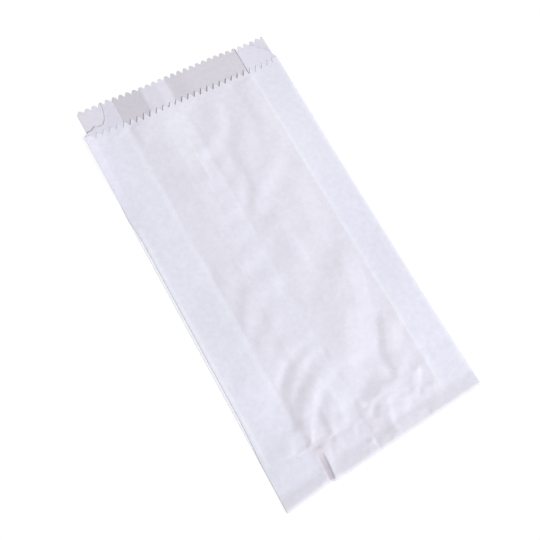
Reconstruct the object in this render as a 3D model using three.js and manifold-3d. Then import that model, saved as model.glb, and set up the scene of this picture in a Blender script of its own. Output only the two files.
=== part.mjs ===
// A flat satchel bag of thin white paper, empty, lying on its back.
// One sheet is creased into a tube with a gusset down each side and lapped down the back.
// Its bottom end is folded under, and the front panel's longer lip is glued to the back.
// Millimetres: +X across the bag, +Y towards the mouth, +Z up, the short front panel on top.
import * as THREE from 'three';
import Module from 'manifold-3d';

// Paper
const PAPER = 0.08;
const LAYER_GAP = 0.06;

// The bag laid flat
const WIDTH = 165;
const LENGTH = 320;
const LEFT_GUSSET = 31.3;
const RIGHT_GUSSET = 27;

// Mouth: a toothed knife cuts both panels, the front one shorter
const FRONT_LIP = 22;
const TOOTH_PITCH = 5.43;
const BACK_TOOTH = 3.2;
const FRONT_TOOTH = 4.6;
const BACK_VALLEY = 2.75;
const FRONT_VALLEY = 1.2;

// The cut runs across each gusset in steps: distance in from the front fold, rise above its edge
const LEFT_NOTCH = [[0, 0], [4, 2.5], [10.5, 5], [16.7, 4.2], [20.7, 9.3], [22.7, 18.7]];
const RIGHT_NOTCH = [[0, 0], [2, 4], [5.2, 9.5], [10.2, 13.2], [13.8, 18]];

// Lap seam down the back
const SEAM_EDGE = -28.5;
const SEAM_LAP = 22;
const SEAM_GLUE = 12;
const SEAM_GLUE_END = 10;

// Bottom: the whole stack is folded under, and stands a little open at the fold
const FLAP = 5.2;
const FOLD_SPRING = 0.9;
const STEP_RUN = 2.5;
const FLAP_GLUE = 8;

// How far the bag stands open as it lies, from where the stack at the bottom has settled
const SETTLING = 45;
const SWELL = 2.2;
const LEFT_OPENING = 2.2;
const RIGHT_OPENING = 1.3;
const CREASE_LIFT = 0.5;

// The share of each of these that is left low down and at the mouth
const SWELL_SHARE = { low: 1, high: 0.65, start: 200, end: LENGTH };
const LEFT_SHARE = { low: 0.35, high: 1, start: 190, end: 290 };
const RIGHT_SHARE = { low: 0.5, high: 1, start: 150, end: 290 };

// How far each outer fold lies in from the bag's full width, low down and at the mouth
const LEFT_FRONT_INSET = { low: 3.3, high: 0.5, start: 205, end: 232 };
const LEFT_BACK_INSET = { low: 0, high: 3.6, start: 222, end: 300 };
const RIGHT_BACK_INSET = { low: 0.2, high: 0.6, start: 60, end: 300 };

// Long soft wrinkles: start, end, half width and height, a negative height being a dip.
// They fade out this far inside the gusset creases.
const WRINKLE_MARGIN = 9;
const WRINKLES = [
  { from: [22, 272], to: [-14, 246], reach: 10, rise: 0.7 },
  { from: [12, 238], to: [-6, 194], reach: 10, rise: -0.6 },
  { from: [45, 220], to: [2, 187], reach: 12, rise: 0.8 },
  { from: [18, 172], to: [18, 126], reach: 9, rise: 0.4 },
  { from: [-29, 142], to: [-48, 119], reach: 9, rise: -0.6 },
  { from: [54, 126], to: [8, 56], reach: 15, rise: 0.9 },
  { from: [34, 124], to: [10, 98], reach: 13, rise: -0.5 },
  { from: [-14, 90], to: [-46, 74], reach: 8, rise: 0.7 },
  { from: [-28, 81], to: [-50, 48], reach: 8, rise: -0.6 },
  { from: [-8, 80], to: [-44, 59], reach: 8, rise: 0.6 },
  { from: [-18, 70], to: [-50, 42], reach: 8, rise: -0.6 },
  { from: [-4, 60], to: [-45, 30], reach: 9, rise: 0.8 },
  { from: [46, 77], to: [31, 38], reach: 9, rise: -0.6 },
  { from: [4, 38], to: [22, 40], reach: 10, rise: -0.5 },
];

// Levels that follow from the sizes above
const pitch = PAPER + LAYER_GAP;
const foldReach = pitch / 2;
const clearance = pitch * 3;
const leftEdge = -WIDTH / 2;
const rightEdge = WIDTH / 2;
const leftCrease = leftEdge + LEFT_GUSSET;
const rightCrease = rightEdge - RIGHT_GUSSET;
const frontLevel = LENGTH - FRONT_LIP;
const cutLength = LENGTH + FLAP;
const seamInner = SEAM_EDGE + SEAM_LAP;

// Bottom fold: a half turn about one line, with the back panel innermost
const floorLayer = PAPER / 2;
const turnRadius = (pitch + FOLD_SPRING) / 2;
const turnHeight = floorLayer + 3 * pitch + turnRadius;
const bend = turnRadius + 3 * pitch + PAPER / 2;
const stackEnd = FLAP + BACK_TOOTH + clearance;
const lipEnd = FLAP + FRONT_LIP + FRONT_TOOTH + clearance;

// Height of the back panel above the floor, stepping up over the folded stack and the lip
const backProfile = [
  [bend, turnHeight + turnRadius],
  [stackEnd, floorLayer + 4 * pitch],
  [stackEnd + STEP_RUN, floorLayer + 2 * pitch],
  [lipEnd, floorLayer + 2 * pitch],
  [lipEnd + STEP_RUN, floorLayer],
];

function along(points, at) {
  if (at <= points[0][0]) return points[0][1];
  for (let i = 1; i < points.length; i++) {
    const [x0, y0] = points[i - 1];
    const [x1, y1] = points[i];
    if (at <= x1) return y0 + (y1 - y0) * (at - x0) / (x1 - x0);
  }
  return points[points.length - 1][1];
}

const smooth = (y, start, end) => THREE.MathUtils.smoothstep(y, start, end);
const blend = ({ low, high, start, end }, y) => low + (high - low) * smooth(y, start, end);

// The stack is tight at the bottom and opens over the next stretch
const settled = (y) => smooth(y, stackEnd, stackEnd + SETTLING);
const leftFrontFold = (y) => leftEdge + blend(LEFT_FRONT_INSET, y) * settled(y);
const leftBackFold = (y) => leftEdge + blend(LEFT_BACK_INSET, y);
const rightFrontFold = () => rightEdge;
const rightBackFold = (y) => rightEdge - blend(RIGHT_BACK_INSET, y);
const leftOpening = (y) => LEFT_OPENING * settled(y) * blend(LEFT_SHARE, y);
const rightOpening = (y) => RIGHT_OPENING * settled(y) * blend(RIGHT_SHARE, y);
const creaseLift = (y) => CREASE_LIFT * settled(y);

function wrinkleHeight(x, y) {
  let height = 0;
  for (const { from, to, reach, rise } of WRINKLES) {
    const [dx, dy] = [to[0] - from[0], to[1] - from[1]];
    const share = ((x - from[0]) * dx + (y - from[1]) * dy) / (dx * dx + dy * dy);
    const t = THREE.MathUtils.clamp(share, 0, 1);
    const distance = Math.hypot(x - from[0] - t * dx, y - from[1] - t * dy) / reach;
    if (distance < 1) height += rise * (1 - distance * distance) ** 2;
  }
  const fromLeft = smooth(x, leftCrease, leftCrease + WRINKLE_MARGIN);
  const fromRight = 1 - smooth(x, rightCrease - WRINKLE_MARGIN, rightCrease);
  return height * fromLeft * fromRight * settled(y);
}

// Heights of each panel above the back panel, in the order that they lie
const lapStart = SEAM_EDGE - STEP_RUN;
const backLeftHeight = (x) => pitch * THREE.MathUtils.clamp((x - lapStart) / (STEP_RUN - foldReach), 0, 1);
const lowerHeight = (reach, y) => pitch + creaseLift(y) * reach;
const upperHeight = (reach, y, opening) =>
  2 * pitch + opening(y) * (1 - reach) ** 2 + creaseLift(y) * reach;
const leftReach = (x, fold) => THREE.MathUtils.clamp((x - fold) / (leftCrease - fold), 0, 1);
const rightReach = (x, fold) => THREE.MathUtils.clamp((fold - x) / (fold - rightCrease), 0, 1);

function frontHeight(x, y) {
  const left = leftFrontFold(y);
  const right = rightFrontFold(y);
  let seat = 2 * pitch + creaseLift(y);
  if (x < leftCrease) seat = upperHeight(leftReach(x, left), y, leftOpening);
  if (x > rightCrease) seat = upperHeight(rightReach(x, right), y, rightOpening);
  const arch = Math.sin(Math.PI * THREE.MathUtils.clamp((x - left) / (right - left), 0, 1));
  const swell = SWELL * arch * settled(y) * blend(SWELL_SHARE, y);
  return seat + pitch + swell + wrinkleHeight(x, y);
}

// Toothed edges of the mouth, and the stepped cut that joins them across each gusset
function toothShare(x, valley) {
  const share = THREE.MathUtils.euclideanModulo((x - valley) / TOOTH_PITCH, 1);
  return 1 - Math.abs(2 * share - 1);
}
const backMouth = (x) => LENGTH - BACK_TOOTH * (1 - toothShare(x, BACK_VALLEY));
const mouthLeft = leftFrontFold(frontLevel);
const mouthRight = rightFrontFold(frontLevel);

function frontMouth(x) {
  const nearFold = Math.min(x - mouthLeft, mouthRight - x) < TOOTH_PITCH;
  return frontLevel - (nearFold ? 0 : FRONT_TOOTH * (1 - toothShare(x, FRONT_VALLEY)));
}

function gussetMouth(notch, inset, x) {
  const last = notch[notch.length - 1][0];
  return inset > last ? backMouth(x) : Math.min(backMouth(x), frontLevel + along(notch, inset));
}
const leftGussetMouth = (x) => gussetMouth(LEFT_NOTCH, x - mouthLeft, x);
const rightGussetMouth = (x) => gussetMouth(RIGHT_NOTCH, mouthRight - x, x);

// Places a point of the sheet: across the bag, above the back panel, and along from the fold
function place(x, height, l) {
  if (l >= bend) return new THREE.Vector3(x, l, along(backProfile, l) + height);
  if (l <= -bend) return new THREE.Vector3(x, -l, turnHeight - turnRadius - height);
  const turn = Math.PI * (bend - l) / (2 * bend);
  const radius = turnRadius + height;
  return new THREE.Vector3(x, bend - radius * Math.sin(turn), turnHeight + radius * Math.cos(turn));
}

// Columns of the sheet that run up a panel
function panelColumns(xs, height, mouth) {
  return xs.map((x) => ({ x: () => x, height: (y) => height(x, y), mouth: mouth(x), across: x }));
}

// Three columns round a fold that turns the sheet back on itself
function foldColumns(foldX, below, above, side, mouth) {
  const at = (inset, height) => ({
    x: (y) => foldX(y) - side * inset,
    height: (y) => height(foldX(y), y),
    mouth: mouth(foldX(frontLevel)),
    across: null,
  });
  return [
    at(foldReach, below),
    at(0, (x, y) => (below(x, y) + above(x, y)) / 2),
    at(foldReach, above),
  ];
}

function spaced(from, to, step) {
  const count = Math.max(1, Math.round(Math.abs(to - from) / step));
  return Array.from({ length: count + 1 }, (_, i) => from + (to - from) * i / count);
}

// Columns stand this far apart on the front, and at these shares of the way in over each gusset
const PANEL_STEP = 5.4;
const GUSSET_COLUMNS = [0.24, 0.6];
const reversed = (xs) => [...xs].reverse();
const leftWall = GUSSET_COLUMNS.map((share) => leftEdge + share * LEFT_GUSSET);
const rightWall = reversed(GUSSET_COLUMNS).map((share) => rightEdge - share * RIGHT_GUSSET);
const lowerLeft = (x, y) => lowerHeight(leftReach(x, leftBackFold(y)), y);
const upperLeft = (x, y) => upperHeight(leftReach(x, leftFrontFold(y)), y, leftOpening);
const lowerRight = (x, y) => lowerHeight(rightReach(x, rightBackFold(y)), y);
const upperRight = (x, y) => upperHeight(rightReach(x, rightFrontFold(y)), y, rightOpening);
const flat = () => 0;

// The sheet from its inner seam edge round the tube to its outer seam edge
const frontColumns = [...leftWall, ...spaced(leftCrease, rightCrease, PANEL_STEP), ...rightWall];
const walk = [
  { xs: [seamInner, SEAM_EDGE - foldReach, lapStart], height: backLeftHeight, mouth: backMouth },
  { fold: leftBackFold, side: -1, mouth: backMouth },
  { xs: [], height: lowerLeft, mouth: backMouth },
  { fold: () => leftCrease, side: 1, mouth: backMouth },
  { xs: reversed(leftWall), height: upperLeft, mouth: leftGussetMouth },
  { fold: leftFrontFold, side: -1, mouth: frontMouth },
  { xs: frontColumns, height: frontHeight, mouth: frontMouth },
  { fold: rightFrontFold, side: 1, mouth: frontMouth },
  { xs: reversed(rightWall), height: upperRight, mouth: rightGussetMouth },
  { fold: () => rightCrease, side: -1, mouth: backMouth },
  { xs: [], height: lowerRight, mouth: backMouth },
  { fold: rightBackFold, side: 1, mouth: backMouth },
  { xs: [(rightCrease + SEAM_EDGE) / 2, SEAM_EDGE], height: flat, mouth: backMouth },
];

// Points of the zigzag cut that fall inside a panel
function cutPoints(from, to, valley, notch) {
  const [low, high] = [Math.min(from, to), Math.max(from, to)];
  const points = [];
  const half = TOOTH_PITCH / 2;
  for (let x = valley + half * Math.ceil((low - valley) / half); x < high; x += half) points.push(x);
  return [...points, ...notch].filter((x) => x > low && x < high);
}

const leftNotchXs = LEFT_NOTCH.slice(1).map(([inset]) => mouthLeft + inset);
const rightNotchXs = RIGHT_NOTCH.slice(1).map(([inset]) => mouthRight - inset);

// Zigzag points of one panel, with its own columns kept among them
function cutColumns(step, from, to) {
  const valley = step.mouth === frontMouth ? FRONT_VALLEY : BACK_VALLEY;
  const notch = { [leftGussetMouth]: leftNotchXs, [rightGussetMouth]: rightNotchXs }[step.mouth] ?? [];
  const apart = TOOTH_PITCH / 8;
  const kept = [from, ...step.xs, to];
  const extra = cutPoints(from, to, valley, notch).filter((x, i, all) =>
    kept.every((k) => Math.abs(k - x) > apart) && all.slice(0, i).every((k) => Math.abs(k - x) > apart));
  const xs = [...step.xs, ...extra].sort((a, b) => (from < to ? a - b : b - a));
  return panelColumns(xs, step.height, step.mouth);
}

const foldAt = (step, y) => step.fold(y);
const columns = [];
const cut = [];
walk.forEach((step, i) => {
  if (step.fold) {
    const heights = [walk[i - 1].height, walk[i + 1].height];
    const turned = foldColumns(step.fold, heights[0], heights[1], step.side, step.mouth);
    turned.forEach((column) => {
      column.order = columns.length;
      columns.push(column);
      cut.push(column);
    });
    return;
  }
  const from = i === 0 ? seamInner : foldAt(walk[i - 1], frontLevel);
  const to = i === walk.length - 1 ? SEAM_EDGE : foldAt(walk[i + 1], frontLevel);
  const own = panelColumns(step.xs, step.height, step.mouth);
  const first = columns.length;
  own.forEach((column, k) => {
    column.order = first + k;
    columns.push(column);
  });
  const marks = [[from, first - 1], ...step.xs.map((x, k) => [x, first + k]), [to, first + own.length]];
  for (const column of cutColumns(step, from, to)) {
    const k = marks.findIndex(([x]) => Math.abs(x - from) > Math.abs(column.across - from));
    const [x0, order0] = marks[Math.max(k - 1, 0)];
    const [x1] = marks[k < 0 ? marks.length - 1 : k];
    const share = x1 === x0 ? 0 : (column.across - x0) / (x1 - x0);
    column.order = order0 + (k < 0 ? 0 : share);
    cut.push(column);
  }
});

// Rows of the sheet, from the folded stack round the bottom fold and up to the mouth.
// They stand closer where the front is wrinkled most, and one lies part of the way to each cut.
const CUT_MARGIN = { bottom: 2, mouth: 7 };
const CUT_ROW = { bottom: 0.5, mouth: 0.55 };
const WRINKLED_STEP = 9.5;
const SMOOTH_STEP = 13.5;
const wrinkledTop = 0.47 * LENGTH;
const evenRow = (l) => () => l;
const underRow = FLAP - CUT_MARGIN.bottom;
const lastRow = frontLevel - FRONT_TOOTH - CUT_MARGIN.mouth;
const lipRow = (column) => {
  const cutEnd = cutLength - Math.min(column.mouth + FRONT_TOOTH, LENGTH);
  return -underRow - CUT_ROW.bottom * (cutEnd - underRow);
};
const mouthRow = (column) => {
  const cutStart = Math.min(column.mouth, LENGTH - BACK_TOOTH, column.mouth - FRONT_TOOTH);
  return lastRow + CUT_ROW.mouth * (cutStart - lastRow);
};
const rows = [
  lipRow,
  ...[-underRow, -bend, -bend / 2, 0, bend / 2, bend, (bend + stackEnd) / 2].map(evenRow),
  ...backProfile.slice(1).map(([y]) => evenRow(y)),
  ...spaced(lipEnd + STEP_RUN, wrinkledTop, WRINKLED_STEP).slice(1).map(evenRow),
  ...spaced(wrinkledTop, lastRow, SMOOTH_STEP).slice(1).map(evenRow),
  mouthRow,
];

// Middle of the sheet at a column, and the direction that it runs along there
const NEARBY = 0.01;
const middle = (column, l) => {
  const y = Math.max(l, 0);
  return place(column.x(y), column.height(y), l);
};
const runs = (column, l) => middle(column, l + NEARBY).sub(middle(column, l - NEARBY)).normalize();

// Both faces of a row of columns, half the paper's thickness to each side.
// At a sharp fold the faces stand off further, up to this limit.
const LEAST_COSINE = 0.5;
function faces(list, lengthAt) {
  const ls = list.map(lengthAt);
  const points = list.map((column, i) => middle(column, ls[i]));
  return list.map((column, i) => {
    const direction = runs(column, ls[i]);
    const sides = [];
    if (i > 0) sides.push(points[i].clone().sub(points[i - 1]).cross(direction).normalize());
    if (i < list.length - 1) sides.push(points[i + 1].clone().sub(points[i]).cross(direction).normalize());
    const normal = sides.reduce((sum, side) => sum.add(side), new THREE.Vector3()).normalize();
    const offset = PAPER / 2 / Math.max(normal.dot(sides[0]), LEAST_COSINE);
    return {
      order: column.order,
      outer: points[i].clone().addScaledVector(normal, offset),
      inner: points[i].clone().addScaledVector(normal, -offset),
    };
  });
}

const vertices = [];
const triangles = [];
function number(row) {
  for (const node of row) {
    node.outerIndex = vertices.push(node.outer) - 1;
    node.innerIndex = vertices.push(node.inner) - 1;
  }
  return row;
}

// One triangle of the sheet, on both of its faces
function skin(a, b, c) {
  triangles.push([a.outerIndex, b.outerIndex, c.outerIndex], [a.innerIndex, c.innerIndex, b.innerIndex]);
}

// Closes an edge of the sheet between its two faces
function edge(a, b) {
  triangles.push([a.outerIndex, a.innerIndex, b.innerIndex], [a.outerIndex, b.innerIndex, b.outerIndex]);
}

function strip(lower, upper) {
  for (let i = 0; i + 1 < lower.length; i++) {
    const [a, b, c, d] = [lower[i], lower[i + 1], upper[i + 1], upper[i]];
    if (b.outer.x > a.outer.x) {
      skin(a, b, c);
      skin(a, c, d);
    } else {
      skin(a, b, d);
      skin(b, c, d);
    }
  }
}

// Joins a row of columns to the finer zigzag cut beside it
function zip(row, zigzag, upwards) {
  let [i, k] = [0, 0];
  const add = (a, b, c) => (upwards ? skin(a, b, c) : skin(a, c, b));
  while (i + 1 < row.length || k + 1 < zigzag.length) {
    const nextRow = i + 1 < row.length ? row[i + 1].order : Infinity;
    const nextCut = k + 1 < zigzag.length ? zigzag[k + 1].order : Infinity;
    const middleOfRow = i + 1 < row.length ? (row[i].order + row[i + 1].order) / 2 : Infinity;
    if (nextCut <= Math.min(middleOfRow, nextRow) || nextRow === Infinity
        || (zigzag[k].order < middleOfRow && nextCut !== Infinity)) {
      add(row[i], zigzag[k + 1], zigzag[k]);
      k += 1;
    } else {
      add(row[i], row[i + 1], zigzag[k]);
      i += 1;
    }
  }
}

const sheetRows = rows.map((lengthAt) => number(faces(columns, lengthAt)));
const mouthCut = number(faces(cut, (column) => column.mouth));
const bottomCut = number(faces(cut, (column) => column.mouth - cutLength));
for (let i = 0; i + 1 < sheetRows.length; i++) strip(sheetRows[i], sheetRows[i + 1]);
zip(sheetRows[sheetRows.length - 1], mouthCut, true);
zip(sheetRows[0], bottomCut, false);
for (let i = 0; i + 1 < cut.length; i++) {
  edge(mouthCut[i + 1], mouthCut[i]);
  edge(bottomCut[i], bottomCut[i + 1]);
}
const seamRows = [bottomCut, ...sheetRows, mouthCut];
for (let i = 0; i + 1 < seamRows.length; i++) {
  const last = seamRows[i].length - 1;
  const nextLast = seamRows[i + 1].length - 1;
  edge(seamRows[i + 1][0], seamRows[i][0]);
  edge(seamRows[i][last], seamRows[i + 1][nextLast]);
}

// The folded sheet is joined to itself by its two glue lines
const wasm = await Module();
wasm.setup();

function solid(positions, faceList) {
  return new wasm.Manifold(new wasm.Mesh({
    numProp: 3,
    vertProperties: new Float32Array(positions),
    triVerts: new Uint32Array(faceList),
  }));
}

function glue(width, length, from, to, x, y) {
  const box = new THREE.BoxGeometry(width, length, to - from).translate(x, y, (from + to) / 2);
  const corners = new Map();
  const positions = [];
  const index = [];
  const source = box.getAttribute('position');
  for (const i of box.getIndex().array) {
    const point = [source.getX(i), source.getY(i), source.getZ(i)];
    const name = point.join();
    if (!corners.has(name)) {
      corners.set(name, corners.size);
      positions.push(...point);
    }
    index.push(corners.get(name));
  }
  return solid(positions, index);
}

const seamTop = lastRow - SEAM_GLUE_END;
const seamBottom = lipEnd + 2 * STEP_RUN;
const seamGlue = glue(SEAM_GLUE, seamTop - seamBottom, floorLayer, floorLayer + pitch,
  SEAM_EDGE + SEAM_LAP / 2, (seamTop + seamBottom) / 2);
const lipMiddle = (stackEnd + STEP_RUN + FLAP + FRONT_LIP) / 2;
const lipWidth = rightCrease - leftCrease - 2 * FLAP_GLUE;
const lipGlue = glue(lipWidth, FLAP_GLUE, floorLayer, floorLayer + 2 * pitch,
  (leftCrease + rightCrease) / 2, lipMiddle);
const sheet = solid(vertices.flatMap((v) => v.toArray()), triangles.flat());
const joined = sheet.add(seamGlue).add(lipGlue).getMesh();

const geometry = new THREE.BufferGeometry();
geometry.setAttribute('position', new THREE.BufferAttribute(new Float32Array(joined.vertProperties), 3));
geometry.setIndex(new THREE.BufferAttribute(new Uint32Array(joined.triVerts), 1));
geometry.translate(0, -LENGTH / 2, 0);
geometry.computeVertexNormals();

const bag = new THREE.Mesh(geometry, new THREE.MeshStandardMaterial({
  color: 0xe4e4f0,
  roughness: 0.6,
  metalness: 0,
  side: THREE.DoubleSide,
}));
bag.name = 'paper_bag';

const part = new THREE.Group();
part.add(bag);

export default part;
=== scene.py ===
import math

import bmesh
import bpy
import numpy as np
from mathutils import Matrix, Vector


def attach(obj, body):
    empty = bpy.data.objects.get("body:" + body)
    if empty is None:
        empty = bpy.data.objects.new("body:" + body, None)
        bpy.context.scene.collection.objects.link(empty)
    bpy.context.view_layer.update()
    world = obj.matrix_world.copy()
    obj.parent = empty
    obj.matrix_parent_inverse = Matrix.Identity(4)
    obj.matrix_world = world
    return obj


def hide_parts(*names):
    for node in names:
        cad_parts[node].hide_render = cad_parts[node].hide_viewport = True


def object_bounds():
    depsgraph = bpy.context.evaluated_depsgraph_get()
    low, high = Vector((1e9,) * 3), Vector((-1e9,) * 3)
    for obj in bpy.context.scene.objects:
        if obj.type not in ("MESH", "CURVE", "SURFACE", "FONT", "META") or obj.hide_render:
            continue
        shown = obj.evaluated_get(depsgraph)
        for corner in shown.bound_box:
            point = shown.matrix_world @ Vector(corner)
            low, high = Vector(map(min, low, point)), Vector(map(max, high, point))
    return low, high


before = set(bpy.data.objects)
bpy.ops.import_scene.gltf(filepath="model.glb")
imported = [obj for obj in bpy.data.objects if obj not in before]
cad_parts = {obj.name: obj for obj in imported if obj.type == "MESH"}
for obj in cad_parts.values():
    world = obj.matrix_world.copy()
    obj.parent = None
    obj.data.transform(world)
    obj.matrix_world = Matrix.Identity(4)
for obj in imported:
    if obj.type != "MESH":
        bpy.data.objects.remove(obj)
cad_low, cad_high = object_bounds()

# Camera
# It looks down on the bag from over its left side, a little nearer than arm's length.
# Its place was worked out from the bag's four corners, and lengths here are in millimetres.
MM = 0.001
CAMERA_AT = (-92.7, -65.0, 353.2)
CAMERA_FORWARD = (0.2246, 0.1402, -0.9643)
CAMERA_UP = (0.4613, 0.8564, 0.2319)
CAMERA_LENS = 33.57
SENSOR_WIDTH = 36
CLIP_START, CLIP_END = 0.01, 20

forward = Vector(CAMERA_FORWARD).normalized()
right = forward.cross(Vector(CAMERA_UP)).normalized()
up = right.cross(forward)
camera = bpy.data.objects.new("camera", bpy.data.cameras.new("camera"))
camera.data.lens = CAMERA_LENS
camera.data.sensor_width = SENSOR_WIDTH
camera.data.clip_start = CLIP_START
camera.data.clip_end = CLIP_END
camera.matrix_world = Matrix.Translation(Vector(CAMERA_AT) * MM) @ Matrix(
    (right, up, -forward)
).transposed().to_4x4()
bpy.context.scene.collection.objects.link(camera)
bpy.context.scene.camera = camera

# Paper bag: the sheet
# One sheet of thin machine-glazed bag paper, cut at both ends by a toothed knife. It is creased
# into a tube with a gusset down each side, lapped down the back and folded under at the bottom.
PAPER = 0.08
PITCH = 0.14
LEFT_GUSSET = 31.3
RIGHT_GUSSET = 27.0
FRONT_LIP = 22.0
TOOTH_PITCH = 5.43
BACK_TOOTH = 3.2
FRONT_TOOTH = 4.6
BACK_VALLEY = 2.75
FRONT_VALLEY = 1.2
SEAM_EDGE = -28.5
SEAM_LAP = 22.0
SEAM_STEP, SEAM_LANDING = 1.2, 0.1
FLAP = 5.2
LEFT_NOTCH = (
    (0, 0), (1.5, 1.4), (4, 2.6), (7.5, 3.2), (10.5, 5.4), (13, 4.2), (16.7, 4.2), (18.7, 6.4),
    (20.4, 9.3), (21.8, 13.5), (22.7, 18.7),
)
RIGHT_NOTCH = (
    (0, 3.4), (2, 4.4), (3.5, 6.4), (5.2, 9.2), (6.8, 10.6), (10.2, 13.2), (11.8, 15.5), (13.8, 18),
)

left_edge, right_edge = cad_low[0] / MM, cad_high[0] / MM
length = (cad_high[1] - cad_low[1]) / MM
left_crease = left_edge + LEFT_GUSSET
right_crease = right_edge - RIGHT_GUSSET
front_level = length - FRONT_LIP
cut_length = length + FLAP
seam_inner = SEAM_EDGE + SEAM_LAP

# Where each sheet lies: the bottom fold is a half turn with the back panel innermost
FOLD_SPRING = 0.55
FOLD_STEP = 2.6
LIP_EASE = 7.0
LEVEL_MARGIN = 0.3
floor_layer = PAPER / 2
turn_radius = (PITCH + FOLD_SPRING) / 2
turn_height = floor_layer + 3 * PITCH + turn_radius
bend = turn_radius + 3 * PITCH + PAPER / 2
stack_end = FLAP + BACK_TOOTH + LEVEL_MARGIN
lip_end = FLAP + FRONT_LIP + FRONT_TOOTH + LEVEL_MARGIN
BACK_PROFILE = (
    (bend, turn_height + turn_radius),
    (stack_end, floor_layer + 4 * PITCH),
    (stack_end + FOLD_STEP, floor_layer + 2 * PITCH),
    (lip_end, floor_layer + 2 * PITCH),
    (lip_end + LIP_EASE, floor_layer),
)


def smooth(value, start, end):
    """0 before start, 1 after end, and a soft rise between them."""
    t = np.clip((np.asarray(value, float) - start) / (end - start), 0, 1)
    return t * t * (3 - 2 * t)


def between(value, low, high, soft):
    """1 from low to high and 0 outside them."""
    return smooth(value, low - soft, low + soft) * (1 - smooth(value, high - soft, high + soft))


def bump(value, middle, half_width):
    """1 in the middle, falling softly to 0 on both sides."""
    return np.exp(-((value - middle) / half_width) ** 2)


def along(points, at):
    """The second number of a list of pairs, read between them by the first."""
    return np.interp(at, [p[0] for p in points], [p[1] for p in points])


# How the folds wander: the left ones aren't quite over each other, and open towards the mouth.
# A pair of levels says where along the bag a change starts and ends.
SETTLING = 45
LEFT_DRAWN_IN, LEFT_LET_OUT = (26, 70), (203, 232)
LEFT_FRONT_START, LEFT_FRONT_INSET = 0.2, 1.6
LEFT_FRONT_FLARE, LEFT_FLARING = 0.3, (225, 240)
LEFT_BACK_INSET, LEFT_BACK_LEANING = 3.7, (222, 300)
RIGHT_INSET, RIGHT_DRAWN_IN, RIGHT_LET_OUT = 0.6, (15, 60), (180, 290)
RIGHT_BULGE, RIGHT_BULGING = 0.3, (240, 298)
RIGHT_BACK_START, RIGHT_BACK_DRAWN_IN = 0.2, (20, 60)
LEFT_OPENING, LEFT_PARTING = 1.2, (226, 290)
RIGHT_OPENING, RIGHT_PARTING = 1.2, (150, 290)
RIGHT_PARTED, RIGHT_PARTED_MORE = 0.5, 0.3
ROLL_HEIGHT, ROLL_WIDTH, ROLLING = 0.75, 6.8, (224, 258)
CREASE_LIFT, CREASE_PRESSED = 0.5, 0.85
CLOSING_START = 90


def settled(y):
    """The stack is pressed tight at the bottom fold and eases over the next stretch."""
    return smooth(y, stack_end, stack_end + SETTLING)


def left_front_fold(y):
    drawn_in = smooth(y, *LEFT_DRAWN_IN) * (1 - smooth(y, *LEFT_LET_OUT))
    flare = LEFT_FRONT_FLARE * smooth(y, *LEFT_FLARING)
    return left_edge + LEFT_FRONT_START + LEFT_FRONT_INSET * drawn_in + flare


def left_back_fold(y):
    return left_edge + LEFT_BACK_INSET * smooth(y, *LEFT_BACK_LEANING)


def right_front_fold(y):
    drawn_in = smooth(y, *RIGHT_DRAWN_IN) * (1 - smooth(y, *RIGHT_LET_OUT))
    return right_edge - RIGHT_INSET * drawn_in + RIGHT_BULGE * smooth(y, *RIGHT_BULGING)


def right_back_fold(y):
    return right_edge - RIGHT_BACK_START - RIGHT_INSET * smooth(y, *RIGHT_BACK_DRAWN_IN)


def left_inner_crease(y):
    return left_crease + 0 * y


def right_inner_crease(y):
    return right_crease + 0 * y


def left_opening(y):
    return LEFT_OPENING * smooth(y, *LEFT_PARTING)


def right_opening(y):
    parted = RIGHT_PARTED + RIGHT_PARTED_MORE * smooth(y, *RIGHT_PARTING)
    return RIGHT_OPENING * settled(y) * parted


def closing(y):
    """The front lip lies down on the back panel towards the mouth."""
    return smooth(y, length - CLOSING_START, front_level)


def crease_lift(y):
    return CREASE_LIFT * settled(y) * (1 - CREASE_PRESSED * closing(y))


def reach_in(x, fold, crease):
    """0 at a side fold and 1 at the inner crease of its gusset."""
    return np.clip((x - fold) / (crease - fold), 0, 1)


def back_left(x, y):
    return PITCH * np.clip((x - SEAM_EDGE + SEAM_STEP) / (SEAM_STEP - SEAM_LANDING), 0, 1) + 0 * y


def back_right(x, y):
    return 0 * y


def lower_left(x, y):
    return PITCH + crease_lift(y) * reach_in(x, left_back_fold(y), left_crease)


def upper_left(x, y):
    """The left side fold lies close for most of its length, and is lifted and rolled near the mouth."""
    fold = left_front_fold(y)
    reach = reach_in(x, fold, left_crease)
    roll = ROLL_HEIGHT * smooth(y, *ROLLING) * np.clip(1 - (x - fold) / ROLL_WIDTH, 0, 1)
    return 2 * PITCH + left_opening(y) * (1 - reach) ** 2 + crease_lift(y) * reach + roll


def lower_right(x, y):
    return PITCH + crease_lift(y) * reach_in(x, right_back_fold(y), right_crease)


def upper_right(x, y):
    reach = reach_in(x, right_front_fold(y), right_crease)
    return 2 * PITCH + right_opening(y) * (1 - reach) ** 2 + crease_lift(y) * reach


# The front panel swells softly over the empty tube, and steps down between the gussets
SWELL, SWELL_PRESSED = 1.8, 0.86
ARCH_POWER = 1.4
LEFT_STEP, LEFT_STEP_FROM, LEFT_STEP_TO = 0.12, -1.0, 1.8
RIGHT_STEP, RIGHT_STEP_FROM, RIGHT_STEP_TO = 0.03, -2.0, -0.3
STEP_CHANGE = (0, 40)
FOLD_RIDGE, RIDGE_AT, RIDGE_WIDTH, RIDGE_ENDING = 0.07, 2.4, 1.5, (212, 225)
SHOULDER, SHOULDER_AT, SHOULDER_WIDTH = 0.06, 0.6, 1.4
CONTACT = 0.03
SIDE_EASE, TURN_EASE = 2, 1.5

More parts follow.
